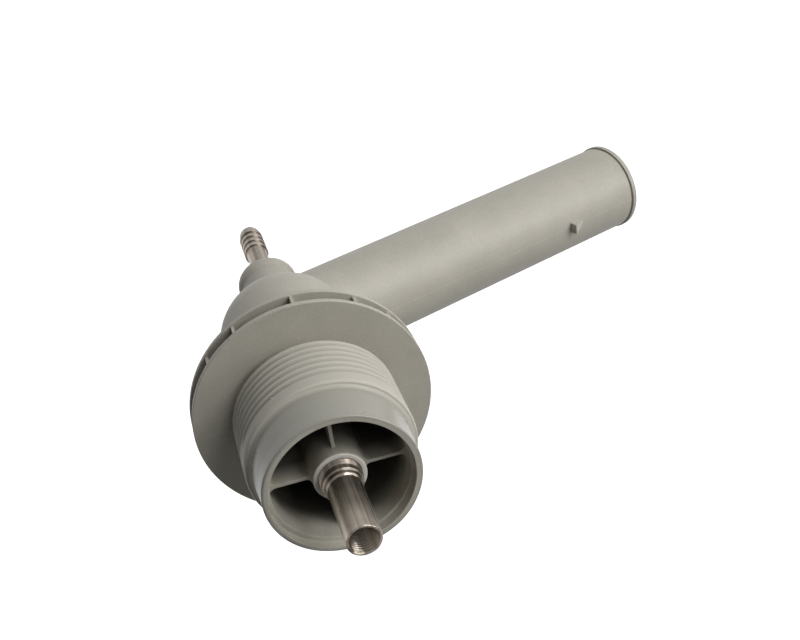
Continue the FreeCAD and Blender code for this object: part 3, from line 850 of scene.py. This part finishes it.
# %% Web outline
WEB_HEIGHT = 37.0
WEB_THICKNESS = 1.5
WEB_START = HUB_RADIUS - 1.2
WEB_END = BORE_RADIUS + 1.0
WEB_STEPS = 60
WEB_EDGE = 0.25
FILLETS_X = (2.4, 3.2)
FILLETS_Y = (0.5, 1.6)


def web_half(place, hub_fillet, wall_fillet):
    """Half the web's thickness at a distance from the axis, with its two fillets."""
    half = WEB_THICKNESS / 2
    for fillet, gap in ((hub_fillet, place - HUB_RADIUS), (wall_fillet, BORE_RADIUS - place)):
        gap = max(gap, 0)
        if gap < fillet:
            half += fillet - math.sqrt(fillet ** 2 - (fillet - gap) ** 2)
    return half


def web_shape(name, hub_fillet, wall_fillet, angle):
    mesh = bmesh.new()
    step = (WEB_END - WEB_START) / WEB_STEPS
    places = [WEB_START + step * index for index in range(WEB_STEPS + 1)]
    edge = [(place, web_half(place, hub_fillet, wall_fillet)) for place in places]
    outline = edge + [(place, -half) for place, half in reversed(edge)]
    foot = [mesh.verts.new((across * MM, out * MM, (WEB_TOP - WEB_HEIGHT) * MM)) for across, out in outline]
    base = mesh.faces.new(foot)
    top = bmesh.ops.extrude_face_region(mesh, geom=[base])["geom"]
    risen = [item for item in top if isinstance(item, bmesh.types.BMVert)]
    bmesh.ops.translate(mesh, verts=risen, vec=(0, 0, WEB_HEIGHT * MM))
    bmesh.ops.recalc_face_normals(mesh, faces=mesh.faces)
    turn = Matrix.Rotation(math.radians(angle), 3, "Z")
    bmesh.ops.rotate(mesh, verts=mesh.verts, cent=(0, 0, 0), matrix=turn)
    return round_edges(as_object(name, mesh), WEB_EDGE * MM, sharper_than=50)


# %% [markdown]
# To copy a shape round the axis, the tree makes one point for each copy, puts the shape on each and
# turns it by its share of a full turn. The two webs along X have larger fillets than those along Y.

# %% Copies round an axis
def ring_tree():
    tree, given = new_tree("copies_round_axis", whole=("Count",))
    points = add(tree, "GeometryNodePoints", Count=given["Count"])[0]
    turn = maths(tree, "DIVIDE", add(tree, "GeometryNodeInputIndex")[0], given["Count"])
    angle = vector(tree, z=maths(tree, "MULTIPLY", turn, 2 * math.pi))
    copies = add(tree, "GeometryNodeInstanceOnPoints", Points=points, Instance=given["Geometry"],
                 Rotation=angle)[0]
    end_tree(tree, given, copies)
    return tree


copies_round_axis = ring_tree()
webs_x = with_tree(web_shape("webs_x", *FILLETS_X, 0), copies_round_axis, Count=2, Material=moulding)
webs_y = with_tree(web_shape("webs_y", *FILLETS_Y, 90), copies_round_axis, Count=2, Material=moulding)
print("webs", len(webs_x.data.polygons), "and", len(webs_y.data.polygons), "faces")

# %% [markdown]
# The ribs between the discs are straight and all run the same way, across the tube, because that is
# how the mould's slides pulled out. Each starts inside the elbow's wall and ends just short of the
# discs' edge, so its length follows from its place. One point per rib carries that rule in the tree.

# %% Ribs between the discs
RIB_THICKNESS = 1.3
RIB_PLACES = (-37.4, -24.8, 0.0, 24.8, 37.4)
RIB_REACH = FLANGE_RADIUS - 0.3
RIB_OVERLAP = 0.3
RIB_EDGE = 0.18


def rib_tree():
    """Boxes at the given places, each as long as the disc is wide there."""
    sizes = ("Thickness", "Height", "Middle", "Reach", "Wall")
    tree, given = new_tree("flange_ribs", sizes)
    calc = partial(maths, tree)

    def square_side(whole, side):
        """Third side of a right-angled triangle, never below zero."""
        left = calc("SUBTRACT", calc("MULTIPLY", whole, whole), calc("MULTIPLY", side, side))
        return calc("SQRT", calc("MAXIMUM", left, 0.0))

    across, y, _ = parts(tree, add(tree, "GeometryNodeInputPosition")[0])
    side = calc("SIGN", y)
    outer = calc("ADD", calc("ABSOLUTE", across), calc("MULTIPLY", given["Thickness"], 0.5))
    end = square_side(given["Reach"], outer)
    start = square_side(given["Wall"], across)
    scale = vector(tree, given["Thickness"], calc("SUBTRACT", end, start), given["Height"])
    half_way = calc("MULTIPLY", calc("ADD", start, end), 0.5)
    place = vector(tree, across, calc("MULTIPLY", half_way, side), given["Middle"])

    keep_scale = tree.nodes.new("GeometryNodeStoreNamedAttribute")
    keep_scale.data_type = "FLOAT_VECTOR"
    keep_scale.inputs["Name"].default_value = "rib_size"
    tree.links.new(given["Geometry"], keep_scale.inputs["Geometry"])
    tree.links.new(scale, keep_scale.inputs["Value"])
    moved = add(tree, "GeometryNodeSetPosition", Geometry=keep_scale.outputs[0], Position=place)[0]
    kept = tree.nodes.new("GeometryNodeInputNamedAttribute")
    kept.data_type = "FLOAT_VECTOR"
    kept.inputs["Name"].default_value = "rib_size"
    box = add(tree, "GeometryNodeMeshCube", Size=(1, 1, 1))[0]
    copies = add(tree, "GeometryNodeInstanceOnPoints", Points=moved, Instance=box, Scale=kept.outputs[0])[0]
    end_tree(tree, given, copies)
    return tree


marks = bmesh.new()
for place in RIB_PLACES:
    for side in (-1, 1):
        marks.verts.new((place * MM, side * MM, 0))
ribs = with_tree(as_object("flange_ribs", marks), rib_tree(), Thickness=RIB_THICKNESS * MM,
                 Height=(DISC_GAP + 2 * RIB_OVERLAP) * MM, Middle=(FLANGE_BACK / 2) * MM,
                 Reach=RIB_REACH * MM, Wall=(ELBOW_RADIUS - 1) * MM, Material=moulding)
round_edges(ribs, RIB_EDGE * MM)
print("ribs", len(ribs.data.polygons), "faces")

# %% [markdown]
# The catch near the tube's end holds the hose's clip. It is a wedge with a steep face towards the
# elbow. Its back falls and narrows towards the tube's end, so that the clip slides on and cannot
# slide back. Three rectangles along the tube, joined edge by edge, give that shape.

# %% Catch on the tube
LUG_PLACE = 157.5
LUG_LENGTH = 8.6
LUG_WIDTH = 5.0
LUG_END_WIDTH = 0.7
LUG_HEIGHT = 4.2
LUG_FLAT = 0.8
LUG_FOOT = -1.0
LUG_EDGE = 0.25


def catch():
    mesh = bmesh.new()
    loops = []
    for along, high, wide in ((0, LUG_HEIGHT, LUG_WIDTH), (LUG_FLAT, LUG_HEIGHT, LUG_WIDTH),
                              (LUG_LENGTH, 0, LUG_END_WIDTH)):
        corners = ((LUG_FOOT, -wide / 2), (high, -wide / 2), (high, wide / 2), (LUG_FOOT, wide / 2))
        loops.append([mesh.verts.new(((TUBE_RADIUS + out) * MM, side * MM, (LUG_PLACE + along) * MM))
                      for out, side in corners])
    for before, after in zip(loops, loops[1:]):
        bridge(mesh, before, after)
    mesh.faces.new(loops[0])
    mesh.faces.new(loops[-1])
    bmesh.ops.recalc_face_normals(mesh, faces=mesh.faces)
    return round_edges(lay_on_tube(as_object("catch", mesh)), LUG_EDGE * MM)


lug = catch()
print("catch", len(lug.data.polygons), "faces")

# %% [markdown]
# Where the mould's parts met, specks of flash stay on the edges. They are tiny, but they catch the
# light in the photograph: four on the collar, one on the rim and two behind the flange.

# %% Specks of flash
FLASH = [
    (149, COLLAR_RADIUS, 4.3, 0.30),
    (155, COLLAR_RADIUS, 13.3, 0.22),
    (155, COLLAR_RADIUS, 28.6, 0.22),
    (121, COLLAR_RADIUS, 28.8, 0.32),
    (130, NOZZLE_RADIUS - 0.6, NOZZLE_TOP - 0.1, 0.30),
    (89, FLANGE_RADIUS - 0.4, FLANGE_BACK + 0.35, 0.34),
    (93, FLANGE_RADIUS - 0.4, FLANGE_BACK + 0.35, 0.28),
]


def flash_specks():
    mesh = bmesh.new()
    for angle, radius, height, size in FLASH:
        turn = Matrix.Rotation(math.radians(angle), 4, "Z")
        place = turn @ Matrix.Translation((radius * MM, 0, height * MM))
        shape = place @ Matrix.Diagonal((size * MM, 0.7 * size * MM, 1.6 * size * MM, 1))
        bmesh.ops.create_icosphere(mesh, subdivisions=2, radius=1, matrix=shape)
    return as_object("flash", mesh)


specks = flash_specks()
print("specks", len(FLASH))

# %% [markdown]
# All of this left the mould as one piece, so it becomes one mesh with one material. It replaces the
# frame's moulding, and rides on the frame's one body.

# %% Join the moulding
holder = join(shell, tube, duct, webs_x, webs_y, ribs, lug, specks)
finish(holder, moulding, "holder_body")

# %% [markdown]
# The spindle is turned steel. Above the hub it has a short shoulder with fine grooves, a step, a
# cone and then the long smooth stretch that the rinse arm turns on. Inside its open end is a fine
# thread, made like the collar's by moving points in and out, but on the lathe's own level rows: at
# so fine a pitch the steps between rows are too small to see.

# %% Fine thread tree
def fine_thread_tree():
    """Moves the points of an inner wall outwards along a helix."""
    tree, given = new_tree("fine_thread", ("Radius", "Pitch", "Low", "High", "Depth"))
    calc = partial(maths, tree)
    x, y, z = parts(tree, add(tree, "GeometryNodeInputPosition")[0])
    distance = axis_distance(tree, x, y)
    around = calc("DIVIDE", calc("ARCTAN2", y, x), 2 * math.pi)
    phase = calc("SUBTRACT", calc("DIVIDE", z, given["Pitch"]), around)
    wave = calc("MULTIPLY", calc("ADD", calc("COSINE", calc("MULTIPLY", phase, 2 * math.pi)), 1.0), 0.5)
    off_wall = calc("ABSOLUTE", calc("SUBTRACT", distance, given["Radius"]))
    on_wall = calc("LESS_THAN", off_wall, 0.05 * MM)
    in_span = calc("MULTIPLY", calc("GREATER_THAN", z, given["Low"]), calc("LESS_THAN", z, given["High"]))
    amount = product(tree, wave, given["Depth"], on_wall, in_span)
    share = calc("DIVIDE", amount, calc("MAXIMUM", distance, HAIR))
    offset = vector(tree, calc("MULTIPLY", x, share), calc("MULTIPLY", y, share))
    pushed = add(tree, "GeometryNodeSetPosition", Geometry=given["Geometry"], Offset=offset)[0]
    end_tree(tree, given, pushed)
    return tree


# %% [markdown]
# One profile holds the whole spindle: its stem in the hub, the shoulder, the shaft, the chamfered
# tip and the bore. Corners near the hub are counted from the hub's front, which they sit on.

# %% Rinse spindle
SPINDLE_RADIUS = POLISHED_RADIUS
SPINDLE_WAY = 3.6
STEM_RADIUS = 6.0
STEM_FOOT = -25.0
SHOULDER_RADIUS = 8.5
SHOULDER_TOP = 2.2
SHOULDER_RINGS = (0.35, 1.05, 1.75)
RING_DEPTH = 0.35
RING_HALF = 0.25
STEP_RADIUS = 8.1
STEP_TOP = 5.0
CONE_RADIUS = 7.3
CONE_TOP = 7.0
TIP_BORE = 5.5
TIP_DEPTH = 18.0
TIP_CHAMFER = 0.5
TIP_PITCH = 1.25
TIP_THREAD_DEPTH = 0.4


def above_hub(corners):
    """Corners given from the hub's front, moved to their height in the frame."""
    return [(radius, HUB_FRONT + height, rounding) for radius, height, rounding in corners]


def ring_grooves(radius, depth, half, heights):
    """Narrow V-shaped rings turned into a wall."""
    corners = []
    for height in heights:
        corners += [(radius, height - half, 0.05), (radius - depth, height, 0.05),
                    (radius, height + half, 0.05)]
    return corners


spindle_foot = above_hub([
    (SPINDLE_WAY, STEM_FOOT, 0),
    (STEM_RADIUS, STEM_FOOT, 0.3),
    (STEM_RADIUS, -SEAT_DEPTH, 0),
    (SHOULDER_RADIUS, -SEAT_DEPTH, 0.1),
])
spindle_head = above_hub(ring_grooves(SHOULDER_RADIUS, RING_DEPTH, RING_HALF, SHOULDER_RINGS) + [
    (SHOULDER_RADIUS, SHOULDER_TOP, 0.15),
    (STEP_RADIUS, SHOULDER_TOP + 0.25, 0.1),
    (STEP_RADIUS, STEP_TOP, 0.4),
    (CONE_RADIUS + 0.15, STEP_TOP + 0.35, 0.15),
    (CONE_RADIUS, CONE_TOP, 0.35),
    (SPINDLE_RADIUS, CONE_TOP + 0.8, 0.4),
])
spindle_tip = [
    (SPINDLE_RADIUS, SPINDLE_TIP, 0.45),
    (TIP_BORE + TIP_CHAMFER, SPINDLE_TIP, 0.12),
    (TIP_BORE, SPINDLE_TIP - TIP_CHAMFER, 0),
]
tip_floor = SPINDLE_TIP - TIP_DEPTH
tip_thread = rise(TIP_BORE, SPINDLE_TIP - TIP_CHAMFER, tip_floor, 0.1)
spindle = lathe("spindle", rounded(spindle_foot + spindle_head + spindle_tip) + tip_thread
                + [(TIP_BORE, tip_floor), (SPINDLE_WAY, tip_floor - 1.5)])
spindle = with_tree(spindle, fine_thread_tree(), Radius=TIP_BORE * MM, Pitch=TIP_PITCH * MM,
                    Low=(tip_floor + 0.3) * MM, High=(SPINDLE_TIP - TIP_CHAMFER - 0.1) * MM,
                    Depth=TIP_THREAD_DEPTH * MM, Material=steel)
finish(spindle, steel, "rinse_spindle", 50)

# %% [markdown]
# The hose tail is turned too. Its four barbs slope towards the tip and end in a sharp ledge towards
# the boss, so that the hose slides on easily and its wall catches behind each ledge.

# %% Hose tail
NECK_RADIUS = 5.15
NECK_END = BOSS_END - 35.1
FLARE = 2.4
BARB_RADIUS = 6.3
BARB_FOOT = 5.6
BARB_PITCH = 5.7
BARBS = 4
CROWN = 2.5
LAST_CROWN = 2.2
TAIL_BORE = 3.4
TIP_RADIUS = 4.0

tail_profile = [
    (TAIL_BORE, BOSS_END + TAIL_SEAT, 0),
    (STEM_RADIUS, BOSS_END + TAIL_SEAT, 0.3),
    (STEM_RADIUS, BOSS_END, 0.1),
    (NECK_RADIUS, BOSS_END, 0.1),
    (NECK_RADIUS, NECK_END + FLARE, 1.5),
    (BARB_FOOT, NECK_END, 0.08),
]
for number in range(BARBS):
    ledge = NECK_END - number * BARB_PITCH
    tail_profile.append((BARB_RADIUS, ledge, 0.18))
    if number < BARBS - 1:
        tail_profile.append((BARB_RADIUS - 0.15, ledge - CROWN, 2.0))
        tail_profile.append((BARB_FOOT, ledge - BARB_PITCH, 0.08))
last_ledge = NECK_END - (BARBS - 1) * BARB_PITCH
tail_profile += [
    (BARB_RADIUS, last_ledge - LAST_CROWN, 4.0),
    (TIP_RADIUS + 1.5, TAIL_END + 2.2, 3.0),
    (TIP_RADIUS, TAIL_END, 0.6),
    (TAIL_BORE, TAIL_END, 0.2),
]
tail = lathe("hose_tail_turned", rounded(tail_profile, 6))
finish(tail, steel, "hose_tail", 40)

# %% [markdown]
# The picture is lit like a packshot. The object lies in front of a white table that is lit so strongly
# that it turns pure white, and this light from below and behind softens the edges of the tube and the
# dome. The table lies far below the object, so a view from below still sees the object. It looks
# brighter to the camera and in reflections than the light it gives, so that it is white without
# flooding everything.

# %% Floor
FLOOR_DROP = 1.2
FLOOR_REACH = 30
TABLE_LIGHT = 0.20
TABLE_WHITE = 0.90
TABLE_GLARE = 0.60
PAPER_WHITE = (0.92, 0.92, 0.92, 1)

floor_mesh = bmesh.new()
bmesh.ops.create_grid(floor_mesh, x_segments=1, y_segments=1, size=FLOOR_REACH)
floor = as_object("floor", floor_mesh)
floor.location = (0, 0, -FLOOR_DROP)
paper, tree = new_material("white_paper")
surface = tree.nodes["Principled BSDF"]
surface.inputs["Base Color"].default_value = PAPER_WHITE
surface.inputs["Roughness"].default_value = 0.9
surface.inputs["Emission Color"].default_value = (1, 1, 1, 1)
ray = add(tree, "ShaderNodeLightPath")
seen = maths(tree, "MULTIPLY_ADD", ray["Is Camera Ray"], TABLE_WHITE, TABLE_LIGHT)
glow = maths(tree, "MULTIPLY_ADD", ray["Is Glossy Ray"], TABLE_GLARE, seen)
tree.links.new(glow, surface.inputs["Emission Strength"])
floor.data.materials.append(paper)
print("table", FLOOR_DROP, "m below the flange, with", 2 * FLOOR_REACH, "m sides")

# %% [markdown]
# The room is white to the camera, pale in reflections and dim as a light. It is a little brighter
# behind the object than on the camera's side, which keeps the nozzle's inside dark. Five soft lamps
# on the right, above and in front give the object its shading.

# %% World and lamps
ROOM_BEHIND = 0.38
ROOM_FRONT = 0.07
ROOM_GLARE = 0.45

world = bpy.data.worlds.new("white_room")
world.use_nodes = True
tree = world.node_tree
background = tree.nodes["Background"]
direction = add(tree, "ShaderNodeTexCoord")["Generated"]
facing = tree.nodes.new("ShaderNodeVectorMath")
facing.operation = "DOT_PRODUCT"
facing.inputs[1].default_value = tuple(back)
tree.links.new(direction, facing.inputs[0])
room = spread(tree, facing.outputs["Value"], 0.5, -0.7, ROOM_FRONT, ROOM_BEHIND)
ray = add(tree, "ShaderNodeLightPath")
seen = maths(tree, "MULTIPLY_ADD", ray["Is Glossy Ray"], ROOM_GLARE, ray["Is Camera Ray"])
tree.links.new(maths(tree, "MAXIMUM", seen, room), background.inputs["Strength"])
background.inputs["Color"].default_value = (1, 1, 1, 1)
bpy.context.scene.world = world

LAMPS = [
    ("key", (0.70, 0.40, 0.60), 3.5),
    ("right", (0.90, 0.30, 0.30), 2.4),
    ("top", (0.40, 0.70, 0.60), 3.5),
    ("low_right", (0.80, -0.10, 0.50), 0.8),
    ("front", (0.50, 0.15, 0.85), 1.2),
]
LAMP_DISTANCE = 1.1
LAMP_SIZE = 0.40
for name, (to_right, to_top, to_camera), power in LAMPS:
    data = bpy.data.lights.new(name, "AREA")
    data.shape = "DISK"
    data.size = LAMP_SIZE
    data.energy = power
    lamp = in_scene(name, data)
    lamp.location = (right * to_right + up * to_top + back * to_camera).normalized() * LAMP_DISTANCE
    lamp.rotation_euler = lamp.location.to_track_quat("Z", "Y").to_euler()
print("stage ready with", len(LAMPS), "lamps")
